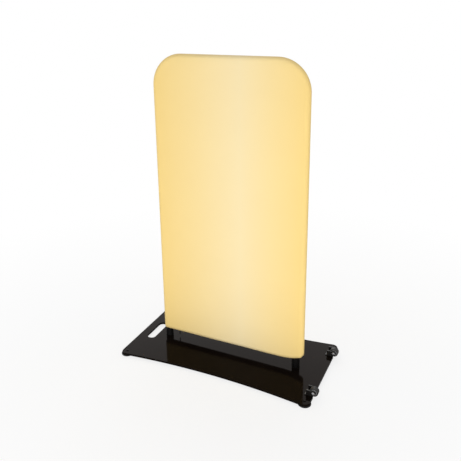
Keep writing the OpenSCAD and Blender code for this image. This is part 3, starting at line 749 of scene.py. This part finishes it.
class SIGN_OT_stage(bpy.types.Operator):
    """Sets the camera at the photograph's view, the pale floor, the world and the soft lamps"""

    bl_idname = "sign.stage"
    bl_label = "Stage"

    def execute(self, context):
        stage = context.scene.sign_stage
        self.make_camera(context, stage)
        self.make_floor(context)
        self.make_world(context, stage)
        self.make_lamps(context, stage)
        context.scene.view_settings.view_transform = "Standard"
        return {"FINISHED"}

    def make_camera(self, context, stage):
        camera = bpy.data.objects.new("photo_camera", bpy.data.cameras.new("photo_camera"))
        context.scene.collection.objects.link(camera)
        azimuth, pitch, roll = stage.azimuth, stage.pitch, stage.roll
        right = Vector((math.cos(azimuth), math.sin(azimuth), 0))
        ahead = Vector((-math.sin(azimuth) * math.cos(pitch), math.cos(azimuth) * math.cos(pitch),
                        -math.sin(pitch)))
        above = right.cross(ahead)
        turned_right = right * math.cos(roll) + above * math.sin(roll)
        turned_above = above * math.cos(roll) - right * math.sin(roll)
        matrix = Matrix((turned_right, turned_above, -ahead)).transposed().to_4x4()
        matrix.translation = stage.camera_place
        camera.matrix_world = matrix
        camera.data.sensor_width = SENSOR_WIDTH
        camera.data.lens = stage.lens
        camera.data.shift_x, camera.data.shift_y = stage.shift
        camera.data.clip_start, camera.data.clip_end = 0.05, 100
        context.scene.camera = camera

    def make_floor(self, context):
        bm = bmesh.new()
        bmesh.ops.create_grid(bm, x_segments=1, y_segments=1, size=FLOOR_SIZE)
        floor = bpy.data.objects.new("floor", to_mesh(bm, "floor"))
        context.scene.collection.objects.link(floor)
        paint = Finish("floor_paint", roughness=0.9, specular=0.0)
        grain = paint.speckle(3, detail=2)
        paint.colour(paint.blend(paint.spread(grain, 0.3, 0.7), FLOOR_GREY, FLOOR_PALE))
        white = paint.tree.nodes.new("ShaderNodeEmission")
        white.inputs["Strength"].default_value = 1.0
        path = paint.tree.nodes.new("ShaderNodeLightPath")
        reach = paint.tree.nodes.new("ShaderNodeVectorMath")
        reach.operation = "LENGTH"
        paint.link(paint.coordinates.outputs["Object"], reach.inputs[0])
        far = paint.spread(reach.outputs["Value"], *SHADOW_REACH, *WHITE_SHARE)
        seen = paint.math("MULTIPLY", path.outputs["Is Camera Ray"], far)
        mix = paint.tree.nodes.new("ShaderNodeMixShader")
        paint.link(seen, mix.inputs["Fac"])
        paint.link(paint.shader.outputs["BSDF"], mix.inputs[1])
        paint.link(white.outputs["Emission"], mix.inputs[2])
        paint.link(mix.outputs["Shader"], paint.tree.nodes["Material Output"].inputs["Surface"])
        floor.data.materials.append(paint.material)

    def make_world(self, context, stage):
        world = bpy.data.worlds.new("studio")
        world.use_nodes = True
        tree = world.node_tree
        back = tree.nodes["Background"]
        back.inputs["Color"].default_value = (1, 1, 1, 1)
        back.inputs["Strength"].default_value = stage.fill
        plain = tree.nodes.new("ShaderNodeBackground")
        plain.inputs["Color"].default_value = (1, 1, 1, 1)
        plain.inputs["Strength"].default_value = 1.0
        path = tree.nodes.new("ShaderNodeLightPath")
        direct = tree.nodes.new("ShaderNodeMath")
        direct.operation = "MAXIMUM"
        tree.links.new(path.outputs["Is Camera Ray"], direct.inputs[0])
        tree.links.new(path.outputs["Is Glossy Ray"], direct.inputs[1])
        mix = tree.nodes.new("ShaderNodeMixShader")
        tree.links.new(direct.outputs["Value"], mix.inputs["Fac"])
        tree.links.new(back.outputs["Background"], mix.inputs[1])
        tree.links.new(plain.outputs["Background"], mix.inputs[2])
        tree.links.new(mix.outputs["Shader"], tree.nodes["World Output"].inputs["Surface"])
        context.scene.world = world

    def make_lamps(self, context, stage):
        for name, place, width, height, power in LAMPS:
            lamp = bpy.data.lights.new(name, "AREA")
            lamp.shape = "RECTANGLE"
            lamp.size, lamp.size_y = width, height
            lamp.energy = getattr(stage, power)
            shown = bpy.data.objects.new(name, lamp)
            context.scene.collection.objects.link(shown)
            turn = (LAMP_AIM - place).to_track_quat("-Z", "Y").to_matrix().to_4x4()
            shown.matrix_world = Matrix.Translation(place) @ turn


class SIGN_OT_finishes(bpy.types.Operator):
    """Mixes the finish of every material slot"""

    bl_idname = "sign.finishes"
    bl_label = "Finishes"

    def execute(self, context):
        FINISHES.clear()
        FINISHES.update(make_finishes(context.scene.sign_colours))
        return {"FINISHED"}


class SIGN_OT_cover(bpy.types.Operator):
    """Makes the textile cover as one stretched sleeve over the frame"""

    bl_idname = "sign.cover"
    bl_label = "Cover"

    def execute(self, context):
        sleeve = piece("cover_sleeve", sleeve_mesh(context.scene.sign_sizes), "frame", "cover_cloth",
                       ["cover_front", "cover_back", "cover_edge"])
        wall = sleeve.modifiers.new("cloth", "SOLIDIFY")
        wall.thickness = CLOTH_THICKNESS
        wall.offset = -1
        return {"FINISHED"}


class SIGN_OT_zip(bpy.types.Operator):
    """Makes the hem's facings, the zip's tapes, teeth, stops, slider and pull, and the stitches"""

    bl_idname = "sign.zip"
    bl_label = "Hem and zip"

    def execute(self, context):
        for side in ("front", "back"):
            cloth_strip("hem_facing_" + side, FACING_ROUNDING, "hem_cloth")
            cloth_strip("zip_tape_" + side, TAPE_ROUNDING, "zip_tape")
        self.make_teeth()
        self.make_stitches()
        soften_parts(ZIP_PARTS)
        return {"FINISHED"}

    def make_teeth(self):
        low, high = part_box("zip_teeth")
        count = int((high.x - low.x) / TOOTH_PITCH)
        depth = high.y - HALF_SLIT
        places = []
        for n in range(count):
            for side in SIDES:
                x = low.x + (n + 0.5 + TOOTH_STAGGER * side) * TOOTH_PITCH
                place = Matrix.Translation((x, side * (high.y - depth / 2), (low.z + high.z) / 2))
                places.append(place @ Matrix.Rotation(0 if side > 0 else math.pi, 4, "Z"))
        tooth = tooth_unit(TOOTH_WIDTH, depth, high.z - low.z)
        repeated("zip_teeth_rows", tooth, places, "zip_plastic", "frame", ["zip_teeth"])

    def make_stitches(self):
        low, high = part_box("hem_facing_front")
        count = int((high.x - low.x - 2 * STITCH_PITCH) / STITCH_PITCH)
        places = [
            move_by(low.x + (n + 1) * STITCH_PITCH, side * (abs(high.y) + row), low.z - STITCH_SINK)
            for n in range(count) for side in SIDES for row in STITCH_ROWS
        ]
        repeated("hem_stitches", stitch_unit(STITCH_LENGTH, STITCH_RADIUS), places, "hem_cloth", "frame")


class SIGN_OT_base(bpy.types.Operator):
    """Dresses the base plate, its feet, screws, spigots and bolts"""

    bl_idname = "sign.base"
    bl_label = "Base plate"

    def execute(self, context):
        softened("base_plate", "plate_lacquer", context.scene.sign_sizes.edge_width)
        soften_parts(BASE_PARTS)
        return {"FINISHED"}


class SIGN_OT_wheels(bpy.types.Operator):
    """Dresses the wheels, their forks, axles and screws"""

    bl_idname = "sign.wheels"
    bl_label = "Wheels"

    def execute(self, context):
        for end in ("near", "far"):
            soften_parts(WHEEL_PARTS, end)
        soften_parts(AXLE_PARTS)
        return {"FINISHED"}


class SIGN_OT_frame(bpy.types.Operator):
    """Dresses the tubes, their joints and the spring buttons"""

    bl_idname = "sign.frame"
    bl_label = "Tube frame"

    def execute(self, context):
        for node in ("upright_left", "upright_right", "top_bow"):
            dress_node(node, "tube_black")
        for end in ("left", "right"):
            dress_node("joint_sleeve_" + end, "zinc_steel")
            soften_parts(BUTTON_PARTS, end)
        soften_parts(RIVET_PARTS)
        return {"FINISHED"}


class SIGN_PT_panel(bpy.types.Panel):
    """Lists the sign's settings and steps"""

    bl_label = "Sidewalk sign"
    bl_idname = "SIGN_PT_panel"
    bl_space_type = "VIEW_3D"
    bl_region_type = "UI"
    bl_category = "Sidewalk sign"

    def draw(self, context):
        for group in (context.scene.sign_colours, context.scene.sign_sizes, context.scene.sign_stage):
            for name in group.__annotations__:
                self.layout.prop(group, name)
        for step in STEPS:
            self.layout.operator(step.bl_idname)


STEPS = (
    SIGN_OT_stage,
    SIGN_OT_finishes,
    SIGN_OT_cover,
    SIGN_OT_zip,
    SIGN_OT_base,
    SIGN_OT_wheels,
    SIGN_OT_frame,
)
GROUPS = (("sign_colours", SignColours), ("sign_sizes", SignSizes), ("sign_stage", SignStage))


def register():
    for name, group in GROUPS:
        bpy.utils.register_class(group)
        setattr(bpy.types.Scene, name, bpy.props.PointerProperty(type=group))
    for step in STEPS:
        bpy.utils.register_class(step)
    bpy.utils.register_class(SIGN_PT_panel)


def unregister():
    bpy.utils.unregister_class(SIGN_PT_panel)
    for step in reversed(STEPS):
        bpy.utils.unregister_class(step)
    for name, group in reversed(GROUPS):
        delattr(bpy.types.Scene, name)
        bpy.utils.unregister_class(group)


def main():
    register()
    for step in STEPS:
        group, name = step.bl_idname.split(".")
        getattr(getattr(bpy.ops, group), name)()
    bpy.context.view_layer.update()


if __name__ == "__main__":
    main()
